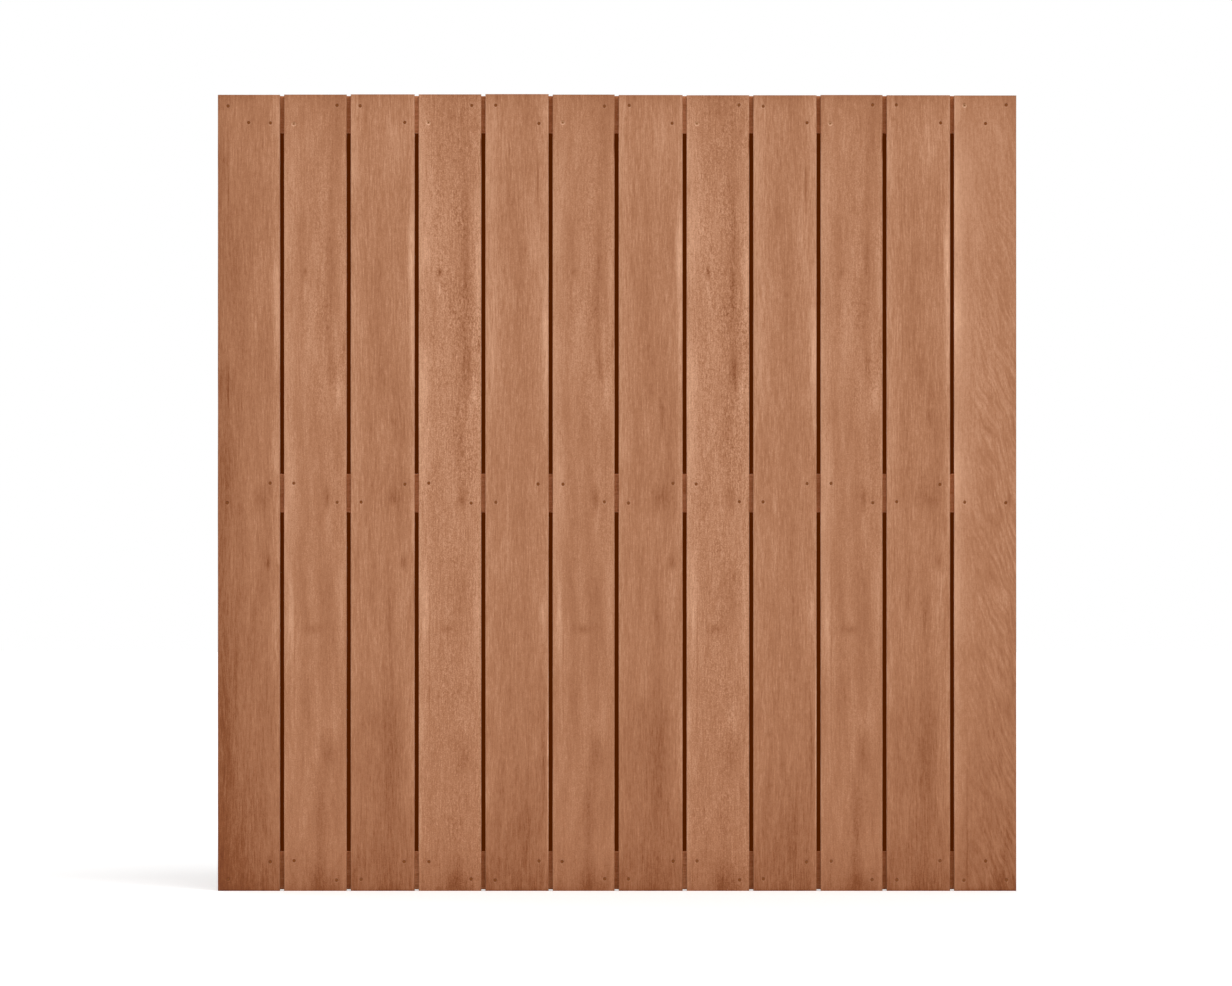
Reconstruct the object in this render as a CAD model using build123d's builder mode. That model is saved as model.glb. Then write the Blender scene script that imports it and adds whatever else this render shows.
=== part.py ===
"""Hardwood garden fence panel: upright planks side by side, nailed to three cross rails behind them.

X runs along the panel, Y goes from its front to its back and Z is up. The origin is in the middle of
the bottom edge, halfway through the thickness. All sizes are in millimetres.
"""

from build123d import *
from math import radians, tan
import os

# Planks: planed boards with rounded long edges, sawn square at both ends
plank_count = 12
plank_width = 141.5
plank_thickness = 15.0
plank_length = 1792.5
plank_gap = 9.2
plank_edge_radius = 2.5

# No two boards come off the planer and the saw quite alike: what each one has over the nominal size
plank_width_spares = (-1.5, -0.5, 2.5, -0.5, 1.0, -2.0, 2.5, -0.5, 1.0, -2.0, 1.5, -1.5)
plank_length_spares = (1.5, 2.0, 2.5, 2.5, 3.0, 2.0, 1.0, 0.5, 0.5, 1.0, 0.5, 0.0)

# Rails: three lying boards as long as the panel. The outer two are set in from the ends of the planks,
# and the third is halfway up. They too differ a little from the nominal height.
rail_height = 86.0
rail_height_spares = {"top_rail": -1.5, "middle_rail": 1.0, "bottom_rail": 0.0}
rail_thickness = 20.0
rail_edge_radius = 2.5
top_rail_setback = 0.5
bottom_rail_setback = 3.0

# Nails: driven from the front through the plank into the rail, the head a little below the face.
# They are small and many, so their round is drawn with a few flats.
nail_shank_diameter = 2.8
nail_head_diameter = 5.8
nail_head_angle = 90.0
nail_head_recess = 0.4
nail_point_length = 5.0
nail_tip_cover = 4.0
nail_hole_clearance = 0.05
nail_plank_margin = 22.5
nail_rail_margin = 22.5
nail_flat_count = 8

# How far nails were driven from their marked places, across the plank and up it. The pairs are used in
# turn, and each plank and rail starts at another one, so that neighbouring crossings differ.
nail_drifts = ((0.6, -0.9), (-0.5, 1.3), (1.1, 0.4), (-1.2, -0.6), (0.2, 1.6), (-0.4, -1.5), (0.9, 0.8))
drift_step_per_plank = 5
drift_step_per_rail = 3

# The front of the planks faces -Y, and their back lies on the front of the rails
panel_thickness = plank_thickness + rail_thickness
front_y = -panel_thickness / 2
joint_y = front_y + plank_thickness

# Widths, lengths and middles of the planks, from left to right as seen from the front
plank_widths = [plank_width + plank_width_spares[i % len(plank_width_spares)] for i in range(plank_count)]
plank_lengths = [
    plank_length + plank_length_spares[i % len(plank_length_spares)]
    for i in range(plank_count)
]
panel_width = sum(plank_widths) + (plank_count - 1) * plank_gap
plank_middles = [
    -panel_width / 2 + sum(plank_widths[:i]) + i * plank_gap + plank_widths[i] / 2
    for i in range(plank_count)
]

# Heights of the rails themselves, and how high their centre lines lie
rail_heights = {rail: rail_height + spare for rail, spare in rail_height_spares.items()}
rail_middles = {
    "top_rail": plank_length - top_rail_setback - rail_heights["top_rail"] / 2,
    "middle_rail": plank_length / 2,
    "bottom_rail": bottom_rail_setback + rail_heights["bottom_rail"] / 2,
}

# The nails are as long as what they go through, less the wood that stays over the head and the tip
nail_length = panel_thickness - nail_head_recess - nail_tip_cover

LEFT, MIDDLE, RIGHT = -1, 0, 1
LOWER, UPPER = -1, 1


def nailing(plank, rail):
    """Which side of the plank and which row of the rail each nail of this crossing is in."""
    last = plank_count - 1
    outer_planks = {
        (0, "top_rail"): [(LEFT, UPPER), (MIDDLE, LOWER), (RIGHT, LOWER)],
        (last, "top_rail"): [(LEFT, UPPER), (MIDDLE, LOWER), (RIGHT, UPPER)],
        (last, "middle_rail"): [(LEFT, LOWER), (RIGHT, LOWER)],
        (last, "bottom_rail"): [(LEFT, LOWER), (MIDDLE, UPPER), (RIGHT, LOWER)],
    }
    if (plank, rail) in outer_planks:
        return outer_planks[plank, rail]
    # Two nails on a slant, which turns the other way on the next plank, so they zigzag along the rail
    falls_to_right = (plank % 2 == 0) == (rail == "top_rail")
    return [(LEFT, UPPER), (RIGHT, LOWER)] if falls_to_right else [(LEFT, LOWER), (RIGHT, UPPER)]


def nail_places(plank, rail):
    """X and Z of each nail that holds this plank on this rail."""
    across = plank_widths[plank] / 2 - nail_plank_margin
    up = rail_heights[rail] / 2 - nail_rail_margin
    first_drift = drift_step_per_plank * plank + drift_step_per_rail * list(rail_heights).index(rail)
    places = []
    for n, (side, row) in enumerate(nailing(plank, rail)):
        drift_x, drift_z = nail_drifts[(first_drift + n) % len(nail_drifts)]
        x = plank_middles[plank] + side * across + drift_x
        z = rail_middles[rail] + row * up + drift_z
        places.append((x, z))
    return places


def nail_planes(plank, rail):
    """A plane at the head of each nail of this crossing, looking the way that the nail points."""
    head_y = front_y + nail_head_recess
    return [
        Plane(origin=(x, head_y, z), x_dir=(1, 0, 0), z_dir=(0, 1, 0))
        for x, z in nail_places(plank, rail)
    ]


def make_nail(clearance=0.0, rise=0.0):
    """One nail, pointing up from the middle of its head: a head cone, a shank and a point.

    With a clearance all round, and its head cone risen past the face of the wood, it is the nail's hole.
    """
    spread = tan(radians(nail_head_angle / 2))
    shank_radius = nail_shank_diameter / 2 + clearance
    head_radius = nail_head_diameter / 2 + clearance + rise * spread
    shank_start = (head_radius - shank_radius) / spread - rise
    point_start = nail_length - nail_point_length
    tip = nail_length + clearance
    with BuildPart() as nail:
        with BuildSketch(Plane.XY.offset(-rise)):
            RegularPolygon(head_radius, nail_flat_count, major_radius=False)
        extrude(amount=shank_start + rise, taper=nail_head_angle / 2)
        with BuildSketch(Plane.XY.offset(shank_start)):
            RegularPolygon(shank_radius, nail_flat_count, major_radius=False)
        extrude(amount=point_start - shank_start)
        with BuildSketch(Plane.XY.offset(point_start)) as point_base:
            RegularPolygon(shank_radius, nail_flat_count, major_radius=False)
        loft(sections=[point_base.sketch.face(), Vertex(0, 0, tip)], ruled=True)
    return nail


def cut_nail_holes(planes):
    """Takes the holes of the nails at these planes out of the board that is being made."""
    hole = make_nail(clearance=nail_hole_clearance, rise=nail_head_recess + nail_hole_clearance)
    with Locations(*planes):
        add(hole.part, mode=Mode.SUBTRACT)


def make_plank(plank):
    """One upright board, with a hole and a sunk seat for the head at every nail."""
    board_middle = Plane(origin=(plank_middles[plank], front_y + plank_thickness / 2, 0))
    with BuildPart() as board:
        with BuildSketch(board_middle) as section:
            Rectangle(plank_widths[plank], plank_thickness)
            fillet(section.vertices(), radius=plank_edge_radius)
        extrude(amount=plank_lengths[plank])
        cut_nail_holes([plane for rail in rail_heights for plane in nail_planes(plank, rail)])
    return board


def make_rail(rail):
    """One lying board across the backs of all the planks, with a blind hole at every nail."""
    rail_end = Plane(
        origin=(-panel_width / 2, joint_y + rail_thickness / 2, rail_middles[rail]),
        x_dir=(0, 1, 0),
        z_dir=(1, 0, 0),
    )
    with BuildPart() as board:
        with BuildSketch(rail_end) as section:
            Rectangle(rail_thickness, rail_heights[rail])
            fillet(section.vertices(), radius=rail_edge_radius)
        extrude(amount=panel_width)
        cut_nail_holes([plane for plank in range(plank_count) for plane in nail_planes(plank, rail)])
    return board


def make_nail_group(plank):
    """All the nails that hold one plank to the rails."""
    nail = make_nail()
    with BuildPart() as nails:
        with Locations(*[plane for rail in rail_heights for plane in nail_planes(plank, rail)]):
            add(nail.part)
    return nails


def write(piece, name):
    """Label a finished piece and save it under its name."""
    piece.part.label = name
    export_step(piece.part, f"parts/{name}.step")


os.makedirs("parts", exist_ok=True)
for i in range(plank_count):
    write(make_plank(i), f"plank_{i + 1:02d}")
    write(make_nail_group(i), f"plank_{i + 1:02d}_nails")
for rail_name in rail_heights:
    write(make_rail(rail_name), rail_name)
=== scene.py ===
"""Looks of a hardwood fence panel: sawn and planed boards, their nails, and a plain studio round them."""

import math

import bmesh
import bpy
from bpy.props import FloatProperty, FloatVectorProperty, IntProperty, PointerProperty
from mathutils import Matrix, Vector


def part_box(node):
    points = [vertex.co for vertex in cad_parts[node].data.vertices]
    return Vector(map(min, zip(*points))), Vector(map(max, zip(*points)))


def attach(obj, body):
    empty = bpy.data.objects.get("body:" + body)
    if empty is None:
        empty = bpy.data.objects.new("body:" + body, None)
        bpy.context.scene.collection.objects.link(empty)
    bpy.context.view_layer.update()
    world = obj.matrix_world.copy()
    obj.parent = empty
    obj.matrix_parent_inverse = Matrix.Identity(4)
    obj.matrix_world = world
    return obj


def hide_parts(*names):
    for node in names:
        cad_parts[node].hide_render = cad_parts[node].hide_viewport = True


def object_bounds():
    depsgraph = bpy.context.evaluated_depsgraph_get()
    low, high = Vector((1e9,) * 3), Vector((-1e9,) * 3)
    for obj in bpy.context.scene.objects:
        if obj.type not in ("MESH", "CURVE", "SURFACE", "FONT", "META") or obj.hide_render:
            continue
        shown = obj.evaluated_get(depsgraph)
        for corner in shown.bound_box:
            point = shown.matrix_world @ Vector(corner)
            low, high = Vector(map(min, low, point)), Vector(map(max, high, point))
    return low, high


bl_info = {
    "name": "Hardwood Fence Panel",
    "version": (1, 0, 0),
    "blender": (4, 5, 0),
    "location": "View3D > Sidebar > Fence",
    "description": "Dresses the planks, rails and nails of a hardwood fence panel and sets up its studio",
    "category": "Object",
}

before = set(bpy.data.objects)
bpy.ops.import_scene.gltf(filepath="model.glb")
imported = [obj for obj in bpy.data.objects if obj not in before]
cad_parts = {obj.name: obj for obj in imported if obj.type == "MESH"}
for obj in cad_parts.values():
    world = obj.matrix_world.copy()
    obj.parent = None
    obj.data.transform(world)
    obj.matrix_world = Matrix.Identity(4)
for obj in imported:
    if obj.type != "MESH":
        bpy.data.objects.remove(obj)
cad_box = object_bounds()

BODY = "root"
MM = 0.001
PLANKS = sorted(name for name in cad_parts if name.startswith("plank_") and "nails" not in name)
RAILS = ["top_rail", "middle_rail", "bottom_rail"]


# Colours of the wood

# A tone is what is added to the display values of the mean colour, a little more to green and blue than
# to red, because darker wood is also redder
DARKEST_TONE, LIGHTEST_TONE = -0.5, 0.3
TONE_STOPS = 6
TONE_GAINS = (1.0, 1.07, 1.10)


def linear(value):
    """A display value between 0 and 1 as the light it stands for."""
    value = max(value, 0.0)
    return value / 12.92 if value <= 0.04045 else ((value + 0.055) / 1.055) ** 2.4


def toned(colour, tone):
    """The mean colour with a tone added, as a shader takes it."""
    return [linear(value + gain * tone) for value, gain in zip(colour, TONE_GAINS)] + [1.0]


# How the boards differ. A tone is added to the mean tone, and widths are shares of the board's own width.
# A mark is a soft patch on the front: (across, down, half width, half height, tone). Across runs from 0 at
# the board's left edge to 1 at its right edge, and down from 0 at its upper end to 1 at its lower end.

# Left and right are bands of painted highlight along a board's long edges, or painted shade where they are
# below zero
STRAIGHT = {"lines": 0.18, "speckle": 0.10, "fuzz": 0.12, "mottle": 0.08, "bands": 0.13,
            # Low is a darkening over the lower part of a board, partly dirt and partly painted shade of the
            # light falling off downward
            "low": -0.095, "foot": -0.045, "rim": -0.11}
MOTTLED = {"lines": 0.11, "speckle": 0.27, "fuzz": 0.15, "mottle": 0.06, "bands": 0.19,
           "low": -0.060, "foot": -0.080, "rim": -0.04}
BLOTCHED = {"lines": 0.16, "speckle": 0.52, "fuzz": 0.21, "mottle": 0.08, "bands": 0.08,
            "low": -0.060, "foot": -0.080, "rim": -0.04}
CURLY = {"lines": 0.09, "speckle": 0.08, "fuzz": 0.10, "mottle": 0.09, "bands": 0.09,
         "low": -0.090, "foot": -0.045, "rim": -0.16}

# The first board's darker tone and the dark band over its left part are partly the wood's own and partly
# painted shade, where the light falls off towards the lower left of the panel
FIRST_BOARD = dict(
    STRAIGHT, kind=1, tone=-0.026, left=-0.05, left_width=0.35, right=0.05, right_width=0.14, marks=[
        (0.65, 0.08, 0.25, 0.03, 0.03), (0.17, 0.13, 0.012, 0.05, -0.07), (0.17, 0.37, 0.014, 0.03, -0.12),
        # The patch at 0.94 across, a quarter of the way down, is painted highlight where the rounded right
        # edge catches the light
        (0.57, 0.15, 0.012, 0.03, -0.07), (0.94, 0.26, 0.05, 0.1, 0.06), (0.9, 0.45, 0.08, 0.025, 0.05),
        (0.15, 0.46, 0.12, 0.04, -0.05), (0.67, 0.507, 0.09, 0.011, -0.055),
        (0.81, 0.587, 0.055, 0.009, -0.09), (0.92, 0.69, 0.06, 0.06, 0.05), (0.3, 0.74, 0.03, 0.06, -0.05),
        (0.1, 0.8, 0.15, 0.17, -0.05), (0.15, 0.97, 0.2, 0.05, -0.03)])
BANDED_MARKS = [
    (0.18, 0.14, 0.16, 0.1, 0.02), (0.75, 0.2, 0.06, 0.13, -0.05), (0.76, 0.345, 0.05, 0.02, -0.06),
    # The patch at 0.95 across, near a quarter of the way down, is painted highlight where the rounded right
    # edge catches the light
    (0.34, 0.223, 0.035, 0.006, -0.07), (0.34, 0.246, 0.025, 0.012, 0.05), (0.95, 0.23, 0.05, 0.08, 0.06),
    (0.96, 0.315, 0.02, 0.01, -0.1), (0.88, 0.375, 0.06, 0.02, 0.07), (0.1, 0.46, 0.07, 0.05, 0.05),
    (0.11, 0.65, 0.05, 0.055, 0.07), (0.17, 0.71, 0.012, 0.08, -0.06), (0.47, 0.671, 0.12, 0.006, -0.07),
    (0.93, 0.65, 0.05, 0.08, 0.06), (0.66, 0.62, 0.15, 0.04, -0.03), (0.7, 0.786, 0.13, 0.018, 0.04),
    # The dark patch on the right edge near the upper end is painted shade, where the worn edge falls in
    # shade
    (0.72, 0.83, 0.12, 0.02, -0.05), (0.57, 0.985, 0.13, 0.02, -0.06), (0.995, 0.063, 0.01, 0.015, -0.22),
    (0.69, 0.507, 0.07, 0.016, -0.09), (0.5, 0, 0.9, 0.1, -0.045), (0.7, 0.28, 0.14, 0.12, -0.025)]
BANDED_BOARD = dict(
    MOTTLED, kind=2, tone=-0.001, left=0.045, left_width=0.12, right=0.03, right_width=0.06,
    marks=BANDED_MARKS)
BLOTCHED_BOARD = dict(
    BLOTCHED, kind=4, tone=0.017, left=0.07, left_width=0.08, right=0.03, right_width=0.06,
    marks=BANDED_MARKS + [
        (0.72, 0.25, 0.17, 0.11, -0.02), (0.8, 0.35, 0.08, 0.03, -0.05), (0.1, 0.2, 0.07, 0.05, 0.05),
        (0.1, 0.36, 0.06, 0.04, 0.05), (0.65, 0.44, 0.1, 0.03, -0.04), (0.34, 0.223, 0.035, 0.006, -0.05)])
PLAIN_BOARD = dict(
    STRAIGHT, kind=3, tone=-0.004, left=0.04, left_width=0.11, right=0.06, right_width=0.05, marks=[
        (0.15, 0.004, 0.025, 0.008, -0.07), (0.11, 0.03, 0.04, 0.004, -0.05),
        # The two patches at the right edge, a fifth and a third of the way down, are painted highlight where
        # the rounded edge catches the light
        (0.69, 0.05, 0.12, 0.03, 0.03), (0.95, 0.2, 0.045, 0.05, 0.12), (0.96, 0.32, 0.035, 0.08, 0.08),
        (0.5, 0.23, 0.18, 0.05, -0.02), (0.68, 0.4, 0.07, 0.035, -0.06), (0.53, 0.35, 0.1, 0.03, -0.04),
        (0.66, 0.507, 0.1, 0.012, -0.06), (0.82, 0.587, 0.05, 0.009, -0.1),
        (0.92, 0.547, 0.02, 0.008, -0.06), (0.87, 0.62, 0.09, 0.05, 0.04), (0.6, 0.66, 0.03, 0.03, -0.04),
        (0.6, 0.83, 0.11, 0.06, -0.05), (0.55, 0.96, 0.1, 0.05, -0.04), (0.88, 0.89, 0.08, 0.02, 0.03),
        (0.5, 0.5, 0.9, 0.03, -0.02), (0.5, 0, 0.9, 0.05, -0.02), (0.5, 0.35, 0.9, 0.12, -0.012)])
LINED_BOARD = dict(
    STRAIGHT, kind=5, tone=0.003, left=0.035, left_width=0.16, right=0.05, right_width=0.07, marks=[
        (0.18, 0.004, 0.025, 0.008, -0.07), (0.1, 0.03, 0.04, 0.005, -0.05),
        (0.83, 0.11, 0.016, 0.03, -0.1), (0.38, 0.073, 0.01, 0.008, -0.09), (0.17, 0.27, 0.14, 0.14, 0.03),
        # The patch at 0.95 across, a third of the way down, is painted highlight where the rounded right
        # edge catches the light
        (0.52, 0.3, 0.15, 0.2, -0.03), (0.95, 0.32, 0.05, 0.08, 0.08), (0.91, 0.65, 0.03, 0.02, 0.08),
        # The patch on the right edge low down is painted highlight where the rounded edge catches the light,
        # and the dark one just left of it painted shade
        (0.92, 0.83, 0.035, 0.07, -0.08), (0.99, 0.83, 0.01, 0.11, 0.14), (0.64, 0.94, 0.1, 0.04, -0.04),
        (0.35, 0.55, 0.012, 0.1, 0.03), (0.5, 0, 0.9, 0.03, -0.02)])
# The last board's lighter tone is partly the wood's own and partly painted light, brighter towards the right
# of the panel
CURLY_BOARD = dict(
    CURLY, kind=6, tone=0.010, left=0.11, left_width=0.14, right=-0.015, right_width=0.20, curl=0.042,
    marks=[
        (0.5, 0, 0.9, 0.05, -0.02), (0.21, 0.92, 0.016, 0.08, -0.07), (0.75, 0.84, 0.04, 0.015, -0.05),
        (0.84, 0.94, 0.06, 0.03, -0.05), (0.5, 0.95, 0.8, 0.25, -0.02), (0.88, 0.51, 0.03, 0.01, -0.1)])
PLANK_LOOKS = [FIRST_BOARD, BANDED_BOARD, PLAIN_BOARD, BLOTCHED_BOARD, LINED_BOARD, BANDED_BOARD,
               PLAIN_BOARD, BLOTCHED_BOARD, LINED_BOARD, BANDED_BOARD, PLAIN_BOARD, CURLY_BOARD]
# The rails' marks are where they show in the gaps
RAIL_LOOK = dict(STRAIGHT, kind=7, left=0.02, left_width=0.1, right=0.02, right_width=0.1)
RAIL_MARKS = [(0.5, 0.582, 1.0, 0.020, -0.04), (0.5, 0.246, 1.0, 0.020, -0.03)]
PALE_RAIL_MARKS = [(0.5, 0.751, 1.0, 0.010, 0.10), (0.5, 0.415, 1.0, 0.010, 0.10)]
RAIL_LOOKS = [
    dict(RAIL_LOOK, tone=0.0, marks=RAIL_MARKS + PALE_RAIL_MARKS),
    dict(RAIL_LOOK, tone=0.024, marks=RAIL_MARKS),
    dict(RAIL_LOOK, tone=-0.025, marks=PALE_RAIL_MARKS),
]
# Boards of different kinds are this far apart in the noise, so that each kind has its own figure
KIND_SPACING = 7.3
# A board's number times one of these is the seed of its fine grain or of its shape
PLANK_GRAIN_STEP, PLANK_SHAPE_STEP = 3.7, 11.0
RAIL_GRAIN_STEP, RAIL_SHAPE_STEP = 5.3, 13.0
FIRST_RAIL_NUMBER = 7
NAIL_SEED = 3

# How far a mark reaches into the board
MARK_DEPTH = 10 * MM
# How the wood takes the light, and how much darker its sawn ends are
WOOD_ROUGHNESS, RELIEF_ROUGHNESS = 0.68, 0.10
BUMP_STRENGTH, BUMP_DEPTH = 0.35, 0.4 * MM
END_TONE, END_PITS = -0.14, 0.5
# The nails' colour where they are tarnished, and where that is rubbed off, which is partly bare steel and
# partly a painted glint
TARNISH, RUBBED_STEEL_AND_GLINT = (0.215, 0.062, 0.014, 1.0), (0.62, 0.36, 0.20, 1.0)
WHITE = (1.0, 1.0, 1.0, 1.0)


# Helpers for node trees

SOCKET_WORDS = {float: "Float", int: "Int", tuple: "Vector"}


def feed(tree, node, inputs):
    """Sets or links the inputs of a node, given by name or number."""
    for name, value in inputs.items():
        socket = node.inputs[name]
        if isinstance(value, bpy.types.NodeSocket):
            tree.links.new(value, socket)
        else:
            socket.default_value = value


def put(tree, kind, inputs=None, **settings):
    """Adds a node with its settings and inputs."""
    node = tree.nodes.new(kind)
    for name, value in settings.items():
        setattr(node, name, value)
    feed(tree, node, inputs or {})
    return node


def maths(tree, operation, *values):
    """The result of a Math node of that operation."""
    return put(tree, "ShaderNodeMath", dict(enumerate(values)), operation=operation).outputs[0]


def folded(tree, operation, values):
    """The values joined one after the other by that operation."""
    result = values[0]
    for value in values[1:]:
        result = maths(tree, operation, result, value)
    return result


def total(tree, *values):
    """The sum of the values."""
    return folded(tree, "ADD", values)


def times(tree, *values):
    """The product of the values."""
    return folded(tree, "MULTIPLY", values)


def vector_maths(tree, operation, *values):
    """The result of a Vector Math node of that operation."""
    node = put(tree, "ShaderNodeVectorMath", dict(enumerate(values)), operation=operation)
    return node.outputs["Value" if operation == "LENGTH" else "Vector"]


def joined(tree, x, y, z):
    """The vector of three values."""
    return put(tree, "ShaderNodeCombineXYZ", {"X": x, "Y": y, "Z": z}).outputs[0]


def parted(tree, vector):
    """The three values of a vector."""
    outputs = put(tree, "ShaderNodeSeparateXYZ", {0: vector}).outputs
    return [outputs[axis] for axis in "XYZ"]


def map_range(tree, value, start, end, least=0.0, most=1.0, **settings):
    """Least where the value is at start, most where it is at end, and level beyond them."""
    return put(tree, "ShaderNodeMapRange", {"Value": value, "From Min": start, "From Max": end,
                                            "To Min": least, "To Max": most}, **settings).outputs[0]


def noise(tree, vector, detail=2.0, roughness=0.5):
    """Noise about zero, between about -0.5 and 0.5, with one feature to each unit of vector."""
    node = put(tree, "ShaderNodeTexNoise", {"Vector": vector, "Scale": 1.0, "Detail": detail,
                                            "Roughness": roughness})
    return maths(tree, "SUBTRACT", node.outputs[0], 0.5)


def streaks(tree, vector, across, along, detail=2.0, roughness=0.5):
    """Noise with so many features to a metre across the board, and so many along it."""
    return noise(tree, vector_maths(tree, "MULTIPLY", vector, (across, across, along)), detail, roughness)


def fade(tree, distance, width):
    """1 where distance is 0, falling away over width."""
    return maths(tree, "EXPONENT", times(tree, maths(tree, "DIVIDE", distance, width), -1.0))


def attribute(tree, name):
    """The value of a mesh attribute."""
    return put(tree, "ShaderNodeAttribute", attribute_name=name).outputs["Fac"]


def new_group(kind, name, inputs, outputs):
    """An empty node group, the sockets of its input node, and its output node.

    Each socket is given by its default value, or by the word for its kind where it has none.
    """
    tree = bpy.data.node_groups.new(name, kind)
    for in_out, sockets in (("INPUT", inputs), ("OUTPUT", outputs)):
        for socket_name, value in sockets.items():
            word = value if isinstance(value, str) else SOCKET_WORDS[type(value)]
            socket = tree.interface.new_socket(
                name=socket_name, in_out=in_out, socket_type=f"NodeSocket{word}")
            if word != value:
                socket.default_value = value
    return tree, tree.nodes.new("NodeGroupInput").outputs, tree.nodes.new("NodeGroupOutput")


def finish_group(tree, out, **results):
    """Links the results to the outputs of the same names, and returns the group."""
    for name, value in results.items():
        tree.links.new(value, out.inputs[name.capitalize()])
    return tree


# Shader groups that the wood materials share


def figure_group():
    """The figure of the wood: broad bands, grain lines, pores, soft mottles, dark dashes and fuzz."""
    tree, given, out = new_group("ShaderNodeTree", "Hardwood Figure", {
        "Position": "Vector", "Board": 0.0, "Seed": 0.0, "Bands": 0.10, "Lines": 0.13, "Speckle": 0.10,
        "Mottle": 0.07, "Fuzz": 0.10,
    }, {"Tone": "Float", "Relief": "Float", "Ragged": "Float"})
    board_shift, seed_shift = (joined(tree, value, 0.0, value) for value in (given["Board"], given["Seed"]))
    place = vector_maths(tree, "ADD", given["Position"], board_shift)
    sway = times(tree, streaks(tree, place, 6, 1.6, detail=1.0), 0.030)
    grain = vector_maths(tree, "ADD", place, joined(tree, sway, 0.0, 0.0))
    fine = vector_maths(tree, "ADD", grain, seed_shift)
    bands = streaks(tree, grain, 34, 4.2, detail=3.0)
    lines = streaks(tree, fine, 260, 17, roughness=0.6)
    pores = streaks(tree, fine, 900, 70, detail=1.0)
    mottle = streaks(tree, fine, 150, 95)
    fuzz = streaks(tree, fine, 430, 390, detail=1.0)
    ragged = streaks(tree, fine, 200, 40)
    dashes = streaks(tree, fine, 330, 190, detail=3.0, roughness=0.7)
    much = maths(tree, "MAXIMUM", maths(tree, "MULTIPLY_ADD", streaks(tree, place, 24, 7), 3.0, 0.8), 0.2)
    # The dashes are fewer in the lower half of the boards, at their upper ends and on their left
    across, _, height = parted(tree, given["Position"])
    much = times(tree, much, map_range(tree, height, 0.7, 1.1, 0.55, 1.0),
                 map_range(tree, height, 1.5, 1.8, 1.0, 0.5),
                 map_range(tree, across, -0.05, 0.01, 0.65, 1.1))
    speckle = times(tree, maths(tree, "MINIMUM", dashes, 0.07), much)
    tone = total(tree, times(tree, bands, given["Bands"]), times(tree, lines, given["Lines"]),
                 times(tree, given["Lines"], 0.7, pores), times(tree, speckle, given["Speckle"]),
                 times(tree, mottle, given["Mottle"]), times(tree, fuzz, given["Fuzz"]))
    relief = total(tree, times(tree, lines, 0.5), pores, times(tree, given["Speckle"], 4.0, speckle))
    return finish_group(tree, out, tone=tone, relief=relief, ragged=ragged)


def mark_group():
    """A soft oval patch, such as a knot or a stain, streaky inside and with a ragged outline."""
    tree, given, out = new_group("ShaderNodeTree", "Wood Mark", {
        "Position": "Vector", "Ragged": 0.0, "Centre": "Vector", "Reach": (0.01, 1.0, 0.03),
        "Strength": -0.1,
    }, {"Tone": "Float"})
    away = vector_maths(tree, "SUBTRACT", given["Position"], given["Centre"])
    share = vector_maths(tree, "LENGTH", vector_maths(tree, "DIVIDE", away, given["Reach"]))
    spread_out = maths(tree, "MULTIPLY_ADD", given["Ragged"], 1.6, share)
    bell = maths(tree, "EXPONENT", times(tree, maths(tree, "POWER", spread_out, 2.0), -1.0))
    streaky = maths(tree, "MAXIMUM", maths(tree, "MULTIPLY_ADD", given["Ragged"], 3.5, 1.0), 0.0)
    return finish_group(tree, out, tone=times(tree, bell, streaky, given["Strength"]))


def edge_light_group():
    """Bands of painted light along the two long edges of a board, uneven along its length: lighter bands are
    painted highlight where the rounded edges catch the light, darker ones painted shade.
    """
    tree, given, out = new_group("ShaderNodeTree", "Painted Edge Light", {
        "Position": "Vector", "Seed": 0.0, "Half Width": 0.07, "Left": 0.05, "Left Width": 0.02,
        "Right": 0.05, "Right Width": 0.01,
    }, {"Tone": "Float"})
    across, _, along = parted(tree, given["Position"])
    seeded = joined(tree, given["Seed"], 0.0, along)
    tones = []
    for side, sign, shift in (("Left", 1.0, 3.0), ("Right", -1.0, 7.0)):
        inside = maths(tree, "MAXIMUM", total(tree, times(tree, across, sign), given["Half Width"]), 0.0)
        lane = vector_maths(tree, "ADD", vector_maths(tree, "MULTIPLY", seeded, (1, 1, 5)), (0, shift, 0))
        uneven = total(tree, times(tree, noise(tree, lane, detail=3.0), 3.0), 1.0)
        share = maths(tree, "MAXIMUM", uneven, 0.1)
        tones.append(times(tree, fade(tree, inside, given[f"{side} Width"]), share, given[side]))
    return finish_group(tree, out, tone=total(tree, *tones))


def dirt_and_shade_group():
    """Dirt and painted shade towards the lower end of the panel, and the dark ends of a board. The broad
    darkening over the lower part (Low) is partly dirt and partly painted shade of the light falling off
    downward; the foot, the rim and the top are dirt.
    """
    tree, given, out = new_group("ShaderNodeTree", "Wood Dirt And Painted Shade", {
        "Position": "Vector", "Length": 1.8, "Low": -0.06, "Foot": -0.05, "Rim": -0.1, "Top": -0.05,
    }, {"Tone": "Float"})
    height = parted(tree, given["Position"])[2]
    above_foot = maths(tree, "MAXIMUM", height, 0.0)
    below_top = maths(tree, "MAXIMUM", maths(tree, "SUBTRACT", given["Length"], height), 0.0)
    # Low, fading over the lower half metre, is partly dirt and partly painted shade
    parts = (("Foot", above_foot, 0.05), ("Rim", above_foot, 0.0025), ("Low", above_foot, 0.55),
             ("Top", below_top, 0.012))
    tone = total(tree, *(times(tree, fade(tree, distance, width), given[name])
                         for name, distance, width in parts))
    patchy = total(tree, streaks(tree, given["Position"], 40, 14, detail=3.0), 1.0)
    return finish_group(tree, out, tone=times(tree, tone, patchy))


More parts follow.
